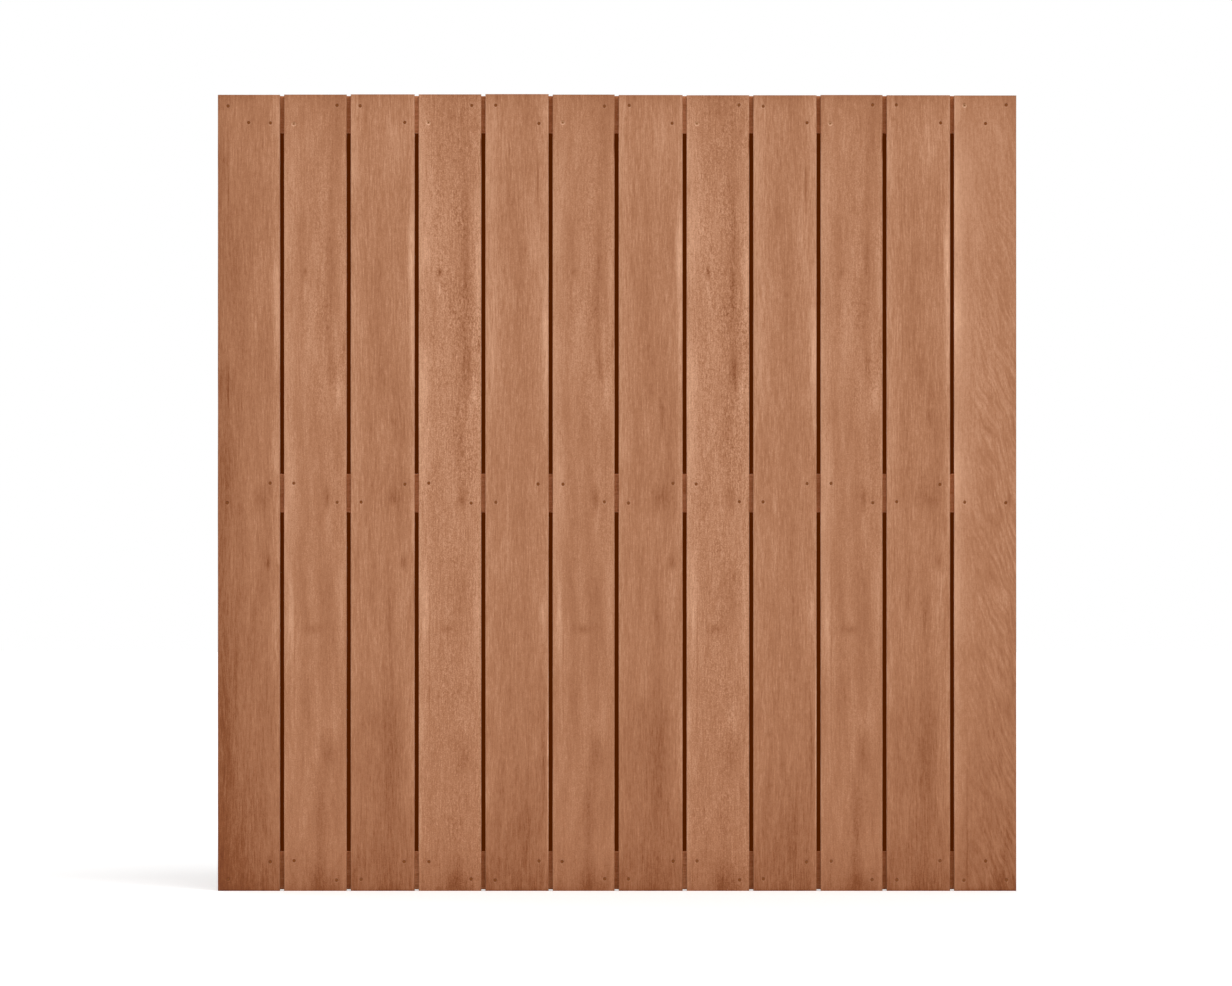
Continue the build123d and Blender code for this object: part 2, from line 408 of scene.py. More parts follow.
def nail_stain_and_light_group():
    """The dark stain in a nail's seat, and a pale ring of painted light on the wood under it, where the
    seat's lower wall faces up to the light; the ring is brighter round a bright nail.
    """
    tree, given, out = new_group("ShaderNodeTree", "Nail Stain And Painted Light", {
        "Distance": 1.0, "Below": 0.0, "Shine": 0.0}, {"Tone": "Float"})
    in_seat = map_range(tree, given["Distance"], 3.0 * MM, 4.3 * MM, 1.0, 0.0)
    near = map_range(tree, given["Distance"], 4.0 * MM, 6.5 * MM, 1.0, 0.0)
    dark = maths(tree, "MULTIPLY_ADD", given["Shine"], 0.12, -0.13)
    # The pale ring is painted light, strongest right under the nail and weakest over it, and brighter round
    # a bright nail
    pale = maths(tree, "MULTIPLY_ADD", given["Shine"], 0.20, 0.04)
    side = maths(tree, "MULTIPLY_ADD", given["Below"], 0.6, 0.4)
    ring = times(tree, pale, side, maths(tree, "SUBTRACT", near, in_seat))
    return finish_group(tree, out, tone=maths(tree, "MULTIPLY_ADD", in_seat, dark, ring))


def curl_group():
    """Curly grain: wavy lines that lean across the board, fainter at its left edge and upper end."""
    tree, given, out = new_group("ShaderNodeTree", "Curly Grain", {
        "Position": "Vector", "Strength": 0.05}, {"Tone": "Float"})
    across, _, height = parted(tree, given["Position"])
    lean = maths(tree, "MULTIPLY_ADD", height, 0.34, across)
    bent = maths(tree, "MULTIPLY_ADD", streaks(tree, given["Position"], 14, 7), 0.05, lean)
    waves = noise(tree, joined(tree, times(tree, bent, 140.0), 0.0, times(tree, height, 16.0)), detail=3.0)
    where = times(tree, map_range(tree, across, -0.05, 0.01, 0.15, 1.0),
                  map_range(tree, height, 1.15, 1.65, 1.0, 0.35))
    tone = times(tree, given["Strength"], 6.0, times(tree, waves, where))
    return finish_group(tree, out, tone=tone)


GROUP_MAKERS = {
    "Hardwood Figure": figure_group,
    "Wood Mark": mark_group,
    "Painted Edge Light": edge_light_group,
    "Wood Dirt And Painted Shade": dirt_and_shade_group,
    "Nail Stain And Painted Light": nail_stain_and_light_group,
    "Curly Grain": curl_group,
}


def grouped(tree, group_name, **inputs):
    """Places a shared group, built at its first use, and returns its outputs. Inputs have underscores."""
    group = bpy.data.node_groups.get(group_name) or GROUP_MAKERS[group_name]()
    values = {name.replace("_", " ").title(): value for name, value in inputs.items()}
    return put(tree, "ShaderNodeGroup", values, node_tree=group).outputs


# Materials of the pieces


def new_material(name, specular):
    """A material, with its node tree and its Principled shader."""
    material = bpy.data.materials.new(name)
    material.use_nodes = True
    shader = material.node_tree.nodes["Principled BSDF"]
    shader.inputs["Specular IOR Level"].default_value = specular
    return material, material.node_tree, shader


def board_frame(node, lying):
    """The middle of the end where a board starts, and its width, depth and length."""
    low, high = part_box(node)
    middle, size = (low + high) / 2, high - low
    if lying:
        return Vector((low.x, middle.y, middle.z)), size.z, size.y, size.x
    return Vector((middle.x, middle.y, low.z)), size.x, size.y, size.z


def wood_material(name, look, colour, seed, node, lying=False):
    """The material of one board. Its position runs across the board in X and along it in Z."""
    start, width, depth, length = board_frame(node, lying)
    material, tree, shader = new_material(name, specular=0.2)
    position = vector_maths(tree, "SUBTRACT", put(tree, "ShaderNodeTexCoord").outputs["Object"], start)
    if lying:
        position = joined(tree, *reversed(parted(tree, position)))
    board = look["kind"] * KIND_SPACING
    figure = grouped(tree, "Hardwood Figure", position=position, board=board, seed=seed, bands=look["bands"],
                     lines=look["lines"], speckle=look["speckle"], mottle=look["mottle"], fuzz=look["fuzz"])
    # Painted highlight and shade along the long edges
    edges = grouped(tree, "Painted Edge Light", position=position, seed=board, half_width=width / 2,
                    left=look["left"], left_width=look["left_width"] * width, right=look["right"],
                    right_width=look["right_width"] * width)
    tones = [figure["Tone"], edges["Tone"]]
    if not lying:
        # Dirt and painted shade towards the foot
        weather_and_shade = grouped(tree, "Wood Dirt And Painted Shade", position=position, length=length, low=look["low"],
                          foot=look["foot"], rim=look["rim"])
        # The dark stain in the nail seats, and painted light under them
        stain = grouped(tree, "Nail Stain And Painted Light", distance=attribute(tree, "nail_distance"),
                        below=attribute(tree, "nail_below"), shine=attribute(tree, "nail_shine"))
        tones += [weather_and_shade["Tone"], stain["Tone"]]
    if "curl" in look:
        tones.append(grouped(tree, "Curly Grain", position=position, strength=look["curl"])["Tone"])
    for across, down, half_across, half_down, strength in look["marks"]:
        mark = grouped(tree, "Wood Mark", position=position, ragged=figure["Ragged"], strength=strength,
                       centre=((across - 0.5) * width, -depth / 2, (1 - down) * length),
                       reach=(half_across * width, MARK_DEPTH, half_down * length))
        tones.append(mark["Tone"])
    tone = total(tree, *tones, look["tone"])
    # Sawn ends drink in the dirt and are darker, with open pores
    normal = parted(tree, put(tree, "ShaderNodeNewGeometry").outputs["True Normal"])
    facing_end = maths(tree, "GREATER_THAN", maths(tree, "ABSOLUTE", normal[0 if lying else 2]), 0.7)
    pits = times(tree, streaks(tree, position, 1300, 1300), END_PITS)
    tone = total(tree, tone, times(tree, facing_end, total(tree, pits, END_TONE)))
    ramp = put(tree, "ShaderNodeValToRGB", {"Fac": map_range(tree, tone, DARKEST_TONE, LIGHTEST_TONE)})
    elements = ramp.color_ramp.elements
    while len(elements) < TONE_STOPS:
        elements.new(0.5)
    for i in range(TONE_STOPS):
        stop = i / (TONE_STOPS - 1)
        elements[i].position = stop
        elements[i].color = toned(colour, DARKEST_TONE + (LIGHTEST_TONE - DARKEST_TONE) * stop)
    bump = put(tree, "ShaderNodeBump", {"Strength": BUMP_STRENGTH, "Distance": BUMP_DEPTH,
                                        "Height": figure["Relief"]})
    feed(tree, shader, {
        "Base Color": ramp.outputs["Color"], "Normal": bump.outputs["Normal"],
        "Roughness": total(tree, times(tree, figure["Relief"], RELIEF_ROUGHNESS), WOOD_ROUGHNESS)})
    return material


def nail_material():
    """Stainless steel under brown tarnish; at the rims of the bright nails a pale colour that is partly bare
    steel and partly a painted glint.
    """
    material, tree, shader = new_material("nail_steel", specular=0.1)
    scuffs = streaks(tree, put(tree, "ShaderNodeTexCoord").outputs["Object"], 900, 900, detail=3.0)
    rim = map_range(tree, attribute(tree, "head_share"), 0.45, 0.8)
    # The bright rim is partly bare steel and partly a painted glint
    bare_and_glint = times(tree, rim, attribute(tree, "nail_shine"), total(tree, scuffs, 0.9))
    ramp = put(tree, "ShaderNodeValToRGB", {"Fac": maths(tree, "MULTIPLY_ADD", scuffs, 0.3, bare_and_glint)})
    for element, colour in zip(ramp.color_ramp.elements, (TARNISH, RUBBED_STEEL_AND_GLINT)):
        element.color = colour
    feed(tree, shader, {"Base Color": ramp.outputs["Color"], "Metallic": times(tree, bare_and_glint, 0.5),
                        "Roughness": maths(tree, "MULTIPLY_ADD", scuffs, -0.3, 0.6)})
    return material


# Where the nails are

# Points of the nails this near to each other, seen from the front, belong to one nail
NAIL_REACH = 8 * MM
# How strong the painted glint and the painted light round a bright nail are, and how strong they are round
# any other nail at most
BRIGHT_SHINE, DULL_SHINE = 0.9, 0.15


def nail_heads(plank):
    """The middle of each nail's head on this plank, from the nails of the frame."""
    groups = []
    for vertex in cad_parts[f"{plank}_nails"].data.vertices:
        group = next((g for g in groups if (g[0] - vertex.co).xz.length < NAIL_REACH), None)
        if group is None:
            groups.append([vertex.co.copy()])
        else:
            group.append(vertex.co.copy())
    middles = []
    for group in groups:
        low, high = (Vector([pick(p[axis] for p in group) for axis in range(3)]) for pick in (min, max))
        middles.append(Vector(((low.x + high.x) / 2, low.y, (low.z + high.z) / 2)))
    return middles


def shine(plank, head):
    """How bright this nail's head is, with its painted glint and the painted light round it: the left one at
    the top of every second plank is bright.
    """
    low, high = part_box(plank)
    on_left = head.x < low.x + (high.x - low.x) / 3
    if PLANKS.index(plank) % 2 == 1 and on_left and head.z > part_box("top_rail")[0].z:
        return BRIGHT_SHINE
    return DULL_SHINE * (math.sin(head.x * 1000 + head.z * 700) * 0.5 + 0.5)


def new_object(name, data):
    """An object with that data, in the scene."""
    made = bpy.data.objects.new(name, data)
    bpy.context.scene.collection.objects.link(made)
    return made


def line_object(name, points, closed):
    """A mesh of edges through the points, as an object in the scene."""
    mesh = bpy.data.meshes.new(name)
    edges = [(i, i + 1) for i in range(len(points) - 1)] + ([(len(points) - 1, 0)] if closed else [])
    mesh.from_pydata(points, edges, [])
    return new_object(name, mesh)


def nail_points(name, places, shines):
    """Points at the nails, each with its shine."""
    points = line_object(name, places, closed=False)
    values = points.data.attributes.new("nail_shine", "FLOAT", "POINT")
    for value, amount in zip(values.data, shines):
        value.value = amount
    return points


# Boards

# Within the fine reach of a nail, the lines of a board's mesh are a fine step apart
FINE_STEP = 0.6 * MM
FINE_REACH = 4.2 * MM
# How many pieces the section has in each corner, each side and the back
CORNER_STEPS = 5
SIDE_STEPS = 2
BACK_STEPS = 10
# How wide the slope is from a seat's floor up to the face
SEAT_SLOPE = 0.6 * MM
SHARP_ANGLE = math.radians(50)
BOARD_TREE = "Sawn Board"


def spread(low, high, step, spots):
    """Places from low to high about a step apart, and a fine step apart near the spots."""
    places = {low, high}
    count = max(1, round((high - low) / step))
    for i in range(1, count):
        place = low + (high - low) * i / count
        if all(abs(place - spot) > FINE_REACH + FINE_STEP for spot in spots):
            places.add(place)
    taken = []
    half = math.ceil(FINE_REACH / FINE_STEP)
    for spot in sorted(spots):
        for i in range(-half, half + 1):
            place = spot + i * FINE_STEP
            if low < place < high and all(abs(place - other) > FINE_STEP / 2 for other in taken):
                taken.append(place)
    return sorted(places | set(taken))


def rounded_section(columns, half_width, half_depth, radius):
    """Points round a board's section, from the given columns of its front face round to its back."""
    points = [(x, -half_depth) for x in columns]
    low_y, high_y = -half_depth, half_depth

    def corner(centre_x, centre_y, start):
        for i in range(1, CORNER_STEPS):
            angle = start + math.pi / 2 * i / CORNER_STEPS
            points.append((centre_x + radius * math.cos(angle), centre_y + radius * math.sin(angle)))

    def run(start, end, steps):
        for i in range(steps + 1):
            share = i / steps
            points.append((start[0] + (end[0] - start[0]) * share, start[1] + (end[1] - start[1]) * share))

    corner(half_width - radius, low_y + radius, -math.pi / 2)
    run((half_width, low_y + radius), (half_width, high_y - radius), SIDE_STEPS)
    corner(half_width - radius, high_y - radius, 0.0)
    run((half_width - radius, high_y), (radius - half_width, high_y), BACK_STEPS)
    corner(radius - half_width, high_y - radius, math.pi / 2)
    run((-half_width, high_y - radius), (-half_width, low_y + radius), SIDE_STEPS)
    corner(radius - half_width, low_y + radius, math.pi)
    return points


def changed(tree, kind, geometry, inputs=None, **settings):
    """The geometry after a node that changes it."""
    return put(tree, kind, {"Geometry": geometry, **(inputs or {})}, **settings).outputs["Geometry"]


def finish_modifier(tree, given, out, geometry):
    """Ends a tree with real geometry in the material that it is given."""
    tree.is_modifier = True
    real = changed(tree, "GeometryNodeRealizeInstances", geometry)
    dressed = changed(tree, "GeometryNodeSetMaterial", real, {"Material": given["Material"]})
    return finish_group(tree, out, geometry=dressed)


def board_tree():
    """Geometry Nodes: sweeps a section along a line, makes the faces uneven and sinks seats at the nails."""
    tree, given, out = new_group("GeometryNodeTree", BOARD_TREE, {
        "Geometry": "Geometry", "Section": "Object", "Nails": "Object", "Seed": 0.0, "Half Width": 0.07,
        "Edge Wander": 0.6 * MM, "Cup": 0.4 * MM, "Seat Radius": 3.0 * MM, "Seat Depth": 1.2 * MM,
        "Dish Radius": 7.0 * MM, "Dish Depth": 0.2 * MM, "Place": "Vector", "Turn": "Vector",
        "Material": "Material",
    }, {"Geometry": "Geometry"})
    spine = put(tree, "GeometryNodeMeshToCurve", {"Mesh": given["Geometry"]})
    section_mesh = put(tree, "GeometryNodeObjectInfo", {"Object": given["Section"]})
    section = put(tree, "GeometryNodeMeshToCurve", {"Mesh": section_mesh.outputs["Geometry"]})
    swept = put(tree, "GeometryNodeCurveToMesh", {
        "Curve": spine.outputs["Curve"], "Profile Curve": section.outputs["Curve"], "Fill Caps": True})
    position = put(tree, "GeometryNodeInputPosition").outputs[0]
    x, y, z = parted(tree, position)
    # Each long edge wanders by itself, and the front is cupped and rippled while the back stays flat
    side = maths(tree, "DIVIDE", x, given["Half Width"])
    lane = total(tree, times(tree, maths(tree, "SIGN", x), 5.0), given["Seed"])
    stray = noise(tree, joined(tree, lane, 0.0, times(tree, z, 4.0)), detail=3.0)
    wander = times(tree, stray, given["Edge Wander"])
    move_x = times(tree, side, maths(tree, "ABSOLUTE", side), wander)
    front = maths(tree, "LESS_THAN", y, 0.0)
    crown = times(tree, side, side, given["Cup"])
    ripple_place = joined(tree, times(tree, side, 1.5), given["Seed"], times(tree, z, 9.0))
    ripple = times(tree, total(tree, noise(tree, ripple_place), 0.5), given["Cup"])
    move_front = times(tree, total(tree, crown, ripple), front)
    nails = put(tree, "GeometryNodeObjectInfo", {"Object": given["Nails"]}).outputs["Geometry"]
    near = put(tree, "GeometryNodeProximity", {0: nails, "Sample Position": position},
               target_element="POINTS")
    distance = near.outputs["Distance"]
    seat_edge = total(tree, given["Seat Radius"], SEAT_SLOPE)
    seat = map_range(tree, distance, given["Seat Radius"], seat_edge, given["Seat Depth"], 0.0)
    dish = map_range(tree, distance, given["Seat Radius"], given["Dish Radius"], given["Dish Depth"], 0.0,
                     interpolation_type="SMOOTHSTEP")
    has_nails = put(tree, "GeometryNodeAttributeDomainSize", {0: nails}, component="MESH")
    sunk = times(tree, total(tree, seat, dish),
                 maths(tree, "MINIMUM", has_nails.outputs["Point Count"], 1.0))
    nearest = put(tree, "GeometryNodeSampleNearest", {"Geometry": nails, "Sample Position": position},
                  domain="POINT")
    shines = put(tree, "GeometryNodeInputNamedAttribute", {"Name": "nail_shine"}, data_type="FLOAT")
    nail_shine = put(tree, "GeometryNodeSampleIndex", {
        "Geometry": nails, "Value": shines.outputs["Attribute"], "Index": nearest.outputs["Index"]},
        data_type="FLOAT")
    # How far under its nearest nail a point is, from 1 right under it to -1 right over it
    drop = maths(tree, "SUBTRACT", parted(tree, near.outputs["Position"])[2], z)
    below = maths(tree, "DIVIDE", drop, maths(tree, "MAXIMUM", distance, 0.01 * MM))
    marked = swept.outputs["Mesh"]
    for name, value in (("nail_distance", distance), ("nail_below", below),
                        ("nail_shine", nail_shine.outputs["Value"])):
        marked = changed(tree, "GeometryNodeStoreNamedAttribute", marked, {"Name": name, "Value": value},
                         data_type="FLOAT")
    offset = joined(tree, move_x, total(tree, move_front, sunk), 0.0)
    uneven = changed(tree, "GeometryNodeSetPosition", marked, {"Offset": offset})
    rotation = put(tree, "FunctionNodeEulerToRotation", {0: given["Turn"]})
    turned = changed(tree, "GeometryNodeTransform", uneven, {
        "Translation": given["Place"], "Rotation": rotation.outputs[0]})
    smooth = changed(tree, "GeometryNodeSetShadeSmooth", turned)
    angle = put(tree, "GeometryNodeInputMeshEdgeAngle").outputs["Unsigned Angle"]
    sharp = changed(tree, "GeometryNodeSetShadeSmooth", smooth, {
        "Selection": maths(tree, "GREATER_THAN", angle, SHARP_ANGLE), "Shade Smooth": False}, domain="EDGE")
    return finish_modifier(tree, given, out, sharp)


def run_tree(tree, source, values, name):
    """Puts the tree on the source object, turns the result into a plain mesh and removes the source."""
    modifier = source.modifiers.new(tree.name, "NODES")
    modifier.node_group = tree
    for item in tree.interface.items_tree:
        if item.in_out == "INPUT" and item.name in values:
            modifier[item.identifier] = values[item.name]
    depsgraph = bpy.context.evaluated_depsgraph_get()
    mesh = bpy.data.meshes.new_from_object(source.evaluated_get(depsgraph), depsgraph=depsgraph)
    source.modifiers.clear()
    mesh.name = name
    made = new_object(name, mesh)
    bpy.data.objects.remove(source)
    if not mesh.polygons:
        raise RuntimeError(f"{name} came out of its node tree with no faces")
    return made


def make_board(tree, node, settings, material, seed, heads=(), lying=False):
    """One board in the place of its node, swept along a line through the node's middle."""
    place, width, depth, length = board_frame(node, lying)
    half_width = width / 2
    local = [head - place for head in heads]
    flat_half = half_width - settings.edge_radius
    columns = spread(-flat_half, flat_half, settings.column_step, [p.x for p in local])
    rows = spread(0.0, length, settings.row_step, [p.z for p in local])
    section_points = rounded_section(columns, half_width, depth / 2, settings.edge_radius)
    section = line_object(f"{node}_section", [(x, y, 0.0) for x, y in section_points], closed=True)
    spine = line_object(f"{node}_spine", [(0.0, 0.0, z) for z in rows], closed=False)
    nails = nail_points(f"{node}_points", local, [shine(node, head) for head in heads])
    made = run_tree(tree, spine, {
        "Section": section, "Nails": nails, "Seed": seed, "Half Width": half_width,
        "Edge Wander": settings.edge_wander, "Cup": settings.cup, "Place": place,
        "Turn": (0.0, math.pi / 2 if lying else 0.0, 0.0), "Material": material,
    }, f"{node}_board")
    for helper in (section, nails):
        bpy.data.objects.remove(helper)
    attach(made, BODY)
    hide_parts(node)
    return made


# Nails


def nail_object(settings):
    """One nail as a turned form about the origin: a flat countersunk head, a shank and a point."""
    head, shank, length = settings.head_diameter / 2, settings.shank_diameter / 2, settings.length
    rim, edge = head * 0.92, 0.25 * MM
    outline = [(0.0, 0.0), (rim * 0.6, 0.0), (rim, 0.02 * MM), (head, 0.12 * MM), (head, edge),
               (shank, edge + head - shank), (shank, length - settings.point_length), (0.0, length)]
    shape = bmesh.new()
    rings = []
    angles = [2 * math.pi * i / settings.sides for i in range(settings.sides)]
    for radius, depth in outline:
        round_it = angles if radius else angles[:1]
        rings.append([shape.verts.new((radius * math.cos(a), depth, radius * math.sin(a)))
                      for a in round_it])
    for ring, following in zip(rings, rings[1:]):
        for i in range(settings.sides):
            corners = [ring[i % len(ring)], ring[(i + 1) % len(ring)],
                       following[(i + 1) % len(following)], following[i % len(following)]]
            shape.faces.new(list(dict.fromkeys(corners)))
    bmesh.ops.recalc_face_normals(shape, faces=shape.faces)
    mesh = bpy.data.meshes.new("nail_pattern")
    shape.to_mesh(mesh)
    shape.free()
    share = mesh.attributes.new("head_share", "FLOAT", "POINT")
    for vertex, value in zip(mesh.vertices, share.data):
        value.value = math.hypot(vertex.co.x, vertex.co.z) / head
    return new_object("nail_pattern", mesh)


def nail_tree():
    """Geometry Nodes: puts the nail on every point, turned a little about its axis and leaning a little."""
    tree, given, out = new_group("GeometryNodeTree", "Driven Nails", {
        "Geometry": "Geometry", "Nail": "Object", "Lean": 0.02, "Seed": NAIL_SEED, "Material": "Material",
    }, {"Geometry": "Geometry"})
    nail = put(tree, "GeometryNodeObjectInfo", {"Object": given["Nail"]})
    lean = given["Lean"]
    back = times(tree, lean, -1.0)
    turn = put(tree, "FunctionNodeRandomValue", {
        "Min": joined(tree, back, -math.pi, back), "Max": joined(tree, lean, math.pi, lean),
        "Seed": given["Seed"]}, data_type="FLOAT_VECTOR")
    rotation = put(tree, "FunctionNodeEulerToRotation", {0: turn.outputs["Value"]})
    placed = put(tree, "GeometryNodeInstanceOnPoints", {
        "Points": given["Geometry"], "Instance": nail.outputs["Geometry"], "Rotation": rotation.outputs[0]})
    return finish_modifier(tree, given, out, placed.outputs["Instances"])


# The stage

FLOOR_REACH = 30.0
FLOOR_COLOUR = (0.85, 0.85, 0.85, 1.0)
FLOOR_GLOW = 0.36
# How far the dark card of painted shade in the gaps reaches behind the outer planks, and behind the upper
# and the lower rail
CARD_LAP_ASIDE, CARD_LAP_UP = 7 * MM, 20 * MM
# Elevation, azimuth and softness of each lamp in degrees, and its level
LAMPS = {"key_lamp": (45, 28, 40, 0.46), "fill_lamp": (20, -35, 60, 0.24), "back_lamp": (35, 200, 60, 0.22)}
WORLD_SEEN, WORLD_LIGHT = 1.0, 0.385


def floor_material(name):
    """A plain surface of the studio. Its glow is seen only by the camera and lights nothing."""
    material, tree, shader = new_material(name, specular=0.0)
    seen = put(tree, "ShaderNodeLightPath").outputs["Is Camera Ray"]
    feed(tree, shader, {"Base Color": FLOOR_COLOUR, "Roughness": 1.0, "Emission Color": WHITE,
                        "Emission Strength": times(tree, seen, FLOOR_GLOW)})
    return material


def shade_card_material(name, colour):
    """Painted shade for the gaps: a plain dark colour that only the camera sees, and only from the front."""
    material, tree, shader = new_material(name, specular=0.0)
    tree.nodes.remove(shader)
    shade = put(tree, "ShaderNodeEmission", {"Color": colour, "Strength": 1.0})
    clear = put(tree, "ShaderNodeBsdfTransparent")
    behind = put(tree, "ShaderNodeNewGeometry").outputs["Backfacing"]
    camera_ray = put(tree, "ShaderNodeLightPath").outputs["Is Camera Ray"]
    seen = times(tree, camera_ray, maths(tree, "SUBTRACT", 1.0, behind))
    choice = put(tree, "ShaderNodeMixShader", {0: seen, 1: clear.outputs[0], 2: shade.outputs[0]})
    tree.links.new(choice.outputs[0], tree.nodes["Material Output"].inputs["Surface"])
    return material


def sheet_object(name, corners, material):
    """A flat four-cornered sheet of the studio."""
    mesh = bpy.data.meshes.new(name)
    mesh.from_pydata(corners, [], [(0, 1, 2, 3)])
    mesh.materials.append(material)
    made = new_object(name, mesh)


def lamp(name, elevation, azimuth, softness, level):
    """A far, soft lamp. At level 1 it alone lights white card that faces it to full white."""
    data = bpy.data.lights.new(name, "SUN")
    data.angle = math.radians(softness)
    data.energy = math.pi * level
    made = new_object(name, data)
    made.rotation_euler = (math.radians(90 - elevation), 0.0, math.radians(azimuth))


def studio_world(seen, light):
    """A world that is white to the eye and in reflections, and lights the panel evenly and plainly."""
    world = bpy.data.worlds.new("Studio")
    world.use_nodes = True
    tree = world.node_tree
    path = put(tree, "ShaderNodeLightPath").outputs
    direct = folded(tree, "MAXIMUM", [path[f"Is {ray} Ray"] for ray in ("Camera", "Transmission", "Glossy")])
    strength = map_range(tree, direct, 0.0, 1.0, light, seen)
    feed(tree, tree.nodes["Background"], {"Color": WHITE, "Strength": strength})
    bpy.context.scene.world = world


# What a user can change


class BoardSettings:
    """The sizes that planks and rails share."""

    edge_radius: FloatProperty(
        name="Edge Radius", description="Rounding of the long edges", default=2.5 * MM, unit="LENGTH")
    edge_wander: FloatProperty(
        name="Edge Wander", description="How far the long edges stray from straight", default=1.2 * MM,
        unit="LENGTH")
    cup: FloatProperty(
        name="Cup", description="How far the front sinks towards the edges", default=0.3 * MM, unit="LENGTH")
    column_step: FloatProperty(
        name="Column Step", description="Spacing of the mesh across the board", default=8 * MM,
        unit="LENGTH")
    row_step: FloatProperty(
        name="Row Step", description="Spacing of the mesh along the board", default=15 * MM, unit="LENGTH")


class FencePlankSettings(BoardSettings, bpy.types.PropertyGroup):
    """The planks."""

    colour: FloatVectorProperty(
        name="Colour", description="Mean colour of the planks as it is displayed", subtype="COLOR_GAMMA",
        default=(0.698, 0.485, 0.353), min=0.0, max=1.0)


class FenceRailSettings(BoardSettings, bpy.types.PropertyGroup):
    """The rails behind the planks."""

    colour: FloatVectorProperty(
        name="Colour", description="Mean colour of the rails as it is displayed", subtype="COLOR_GAMMA",
        default=(0.690, 0.417, 0.240), min=0.0, max=1.0)


class FenceNailSettings(bpy.types.PropertyGroup):
    """The nails."""

    head_diameter: FloatProperty(
        name="Head Diameter", description="Across a nail's head", default=5.8 * MM, unit="LENGTH")
    shank_diameter: FloatProperty(
        name="Shank Diameter", description="Across a nail's shank", default=2.8 * MM, unit="LENGTH")
    length: FloatProperty(
        name="Length", description="From a nail's head to its tip", default=30.6 * MM, unit="LENGTH")
    point_length: FloatProperty(
        name="Point Length", description="Length of the tapered point", default=5.0 * MM, unit="LENGTH")
    lean: FloatProperty(
        name="Lean", description="How far a nail may lean", default=0.01, subtype="ANGLE")
    sides: IntProperty(name="Sides", description="Faces round a nail", default=24, min=8)


class FenceStageSettings(bpy.types.PropertyGroup):
    """The camera and the light."""

    camera_distance: FloatProperty(
        name="Camera Distance", description="From the camera to the front of the panel", default=20.0,
        unit="LENGTH")
    camera_offset: FloatVectorProperty(
        name="Camera Offset",
        description="How far the camera stands off the panel's middle, sideways and up",
        size=2, subtype="XYZ", unit="LENGTH", default=(-2.4 * MM, -1.1 * MM))
    picture_width: FloatProperty(
        name="Picture Width", description="Width of what the picture takes in at the panel", default=2.776,
        unit="LENGTH")
    light_level: FloatProperty(
        name="Light Level", description="Strength of the lamps round the panel", default=1.0, min=0.0)
    # The gap colour is painted shade: the dark that is seen in the gaps between the planks
    gap_shade_colour: FloatVectorProperty(
        name="Gap Shade Colour", description="What is seen between the planks, as it is displayed",
        subtype="COLOR_GAMMA", default=(0.294, 0.106, 0.0), min=0.0, max=1.0)


class FENCE_OT_planks(bpy.types.Operator):
    """Make the planks, with a seat for each nail"""

    bl_idname = "fence.planks"
    bl_label = "Planks"

    def execute(self, context):
        settings = context.scene.fence_planks
        tree = bpy.data.node_groups.get(BOARD_TREE) or board_tree()
        for number, (node, look) in enumerate(zip(PLANKS, PLANK_LOOKS)):
            grain_seed, shape_seed = PLANK_GRAIN_STEP * (number + 1), PLANK_SHAPE_STEP * (number + 1)
            material = wood_material(f"{node}_hardwood", look, settings.colour, grain_seed, node)
            made = make_board(tree, node, settings, material, shape_seed, nail_heads(node))
        return {"FINISHED"}


class FENCE_OT_rails(bpy.types.Operator):
    """Make the rails behind the planks"""

    bl_idname = "fence.rails"
    bl_label = "Rails"

    def execute(self, context):
        settings = context.scene.fence_rails
        tree = bpy.data.node_groups.get(BOARD_TREE) or board_tree()
        for number, (node, look) in enumerate(zip(RAILS, RAIL_LOOKS)):
            grain_seed = RAIL_GRAIN_STEP * (number + FIRST_RAIL_NUMBER)
            shape_seed = RAIL_SHAPE_STEP * (number + 1)
            material = wood_material(f"{node}_hardwood", look, settings.colour, grain_seed, node, lying=True)
            made = make_board(tree, node, settings, material, shape_seed, lying=True)
        return {"FINISHED"}


class FENCE_OT_nails(bpy.types.Operator):
    """Drive a nail into every seat"""

    bl_idname = "fence.nails"
    bl_label = "Nails"

    def execute(self, context):
        settings = context.scene.fence_nails
        heads = [(node, head) for node in PLANKS for head in nail_heads(node)]
        points = nail_points("nail_places", [head for _, head in heads], [shine(*pair) for pair in heads])
        pattern = nail_object(settings)
        made = run_tree(nail_tree(), points, {"Nail": pattern, "Lean": settings.lean, "Seed": NAIL_SEED,
                                              "Material": nail_material()}, "nails_all")
        bpy.data.objects.remove(pattern)
        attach(made, BODY)
        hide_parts(*[f"{node}_nails" for node in PLANKS])
        return {"FINISHED"}


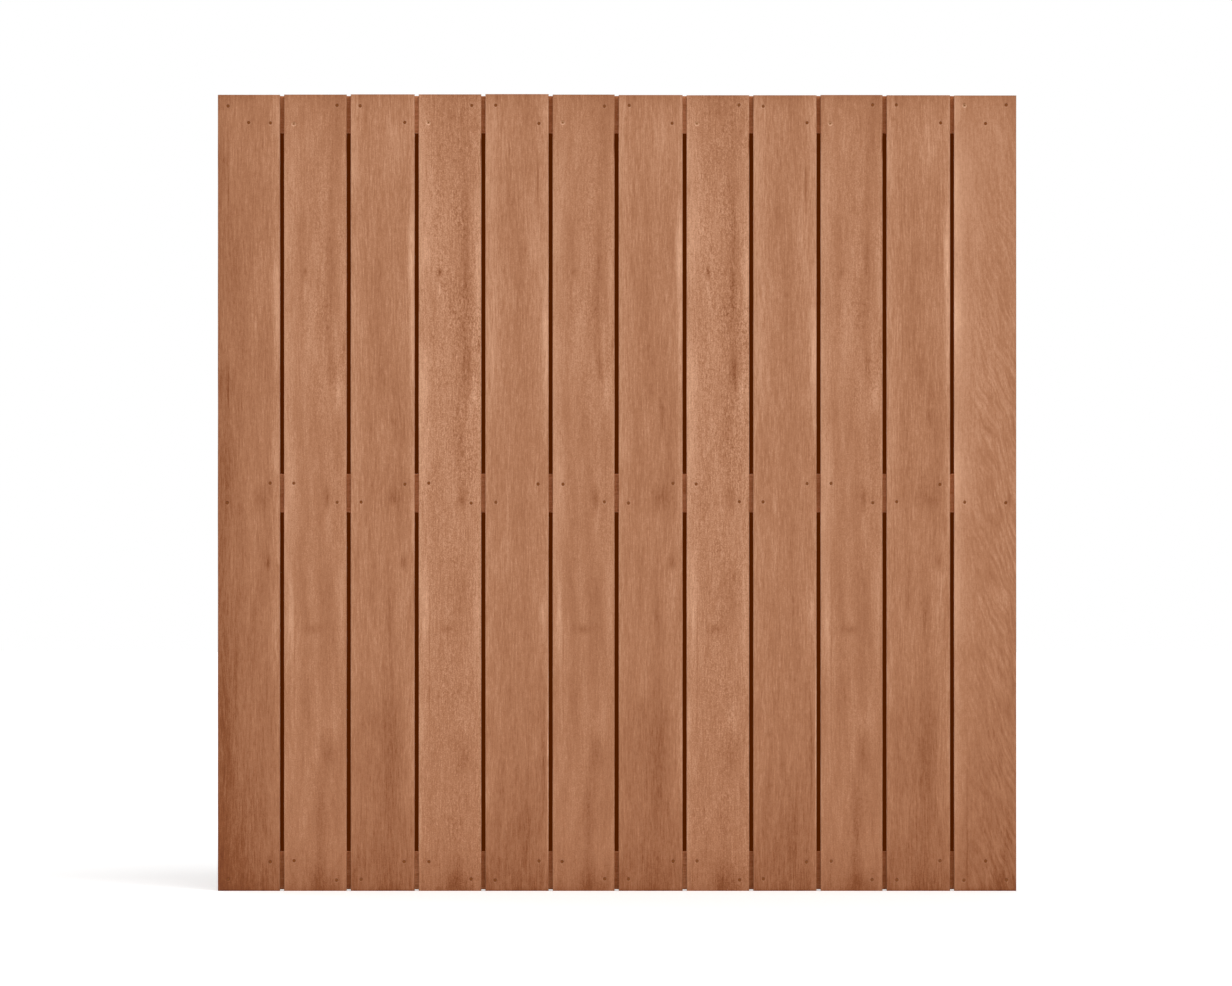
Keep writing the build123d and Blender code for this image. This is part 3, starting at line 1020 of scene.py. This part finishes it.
class FENCE_OT_stage(bpy.types.Operator):
    """Set up the floor, the dark card of painted shade behind the gaps, the lamps and the camera"""

    bl_idname = "fence.stage"
    bl_label = "Stage"

    def execute(self, context):
        settings = context.scene.fence_stage
        reach = FLOOR_REACH
        sheet_object("studio_floor", [(-reach, -reach, 0), (reach, -reach, 0), (reach, reach, 0),
                                      (-reach, reach, 0)], floor_material("studio_floor"))
        # The dark card paints the shade in the gaps between the planks and between the rails
        colour = [linear(value) for value in settings.gap_shade_colour] + [1.0]
        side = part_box(PLANKS[-1])[0].x + CARD_LAP_ASIDE
        low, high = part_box("bottom_rail")[1].z - CARD_LAP_UP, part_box("top_rail")[0].z + CARD_LAP_UP
        middle = (cad_box[0].y + cad_box[1].y) / 2
        sheet_object("studio_dark", [(-side, middle, low), (side, middle, low), (side, middle, high),
                                     (-side, middle, high)], shade_card_material("studio_dark", colour))
        for name, (elevation, azimuth, softness, level) in LAMPS.items():
            lamp(name, elevation, azimuth, softness, level * settings.light_level)
        studio_world(WORLD_SEEN, WORLD_LIGHT * settings.light_level)
        camera_data = bpy.data.cameras.new("Camera")
        camera_data.lens = camera_data.sensor_width * settings.camera_distance / settings.picture_width
        camera = new_object("Camera", camera_data)
        aside, up = settings.camera_offset
        camera.location = (aside, cad_box[0].y - settings.camera_distance, cad_box[1].z / 2 + up)
        camera.rotation_euler = (math.pi / 2, 0.0, 0.0)
        context.scene.camera = camera
        context.scene.view_settings.view_transform = "Standard"
        return {"FINISHED"}


class FENCE_PT_panel(bpy.types.Panel):
    """Lists the settings of the fence panel and the buttons that make its pieces"""

    bl_idname = "FENCE_PT_panel"
    bl_label = "Hardwood Fence Panel"
    bl_space_type = "VIEW_3D"
    bl_region_type = "UI"
    bl_category = "Fence"

    def draw(self, context):
        for settings_name, operator in STEPS:
            box = self.layout.box()
            settings = getattr(context.scene, settings_name)
            for name in settings.bl_rna.properties.keys():
                if name not in ("name", "rna_type"):
                    box.prop(settings, name)
            box.operator(operator.bl_idname)


SETTINGS = {
    "fence_planks": FencePlankSettings,
    "fence_rails": FenceRailSettings,
    "fence_nails": FenceNailSettings,
    "fence_stage": FenceStageSettings,
}
STEPS = [
    ("fence_planks", FENCE_OT_planks),
    ("fence_rails", FENCE_OT_rails),
    ("fence_nails", FENCE_OT_nails),
    ("fence_stage", FENCE_OT_stage),
]
CLASSES = [*SETTINGS.values(), *(operator for _, operator in STEPS), FENCE_PT_panel]


def register():
    """Makes the classes and the settings known to Blender."""
    for cls in CLASSES:
        bpy.utils.register_class(cls)
    for name, cls in SETTINGS.items():
        setattr(bpy.types.Scene, name, PointerProperty(type=cls))


def unregister():
    """Takes them out again."""
    for name in SETTINGS:
        delattr(bpy.types.Scene, name)
    for cls in reversed(CLASSES):
        bpy.utils.unregister_class(cls)


def main():
    """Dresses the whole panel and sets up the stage."""
    register()
    bpy.ops.fence.planks()
    bpy.ops.fence.rails()
    bpy.ops.fence.nails()
    bpy.ops.fence.stage()


if __name__ == "__main__":
    main()
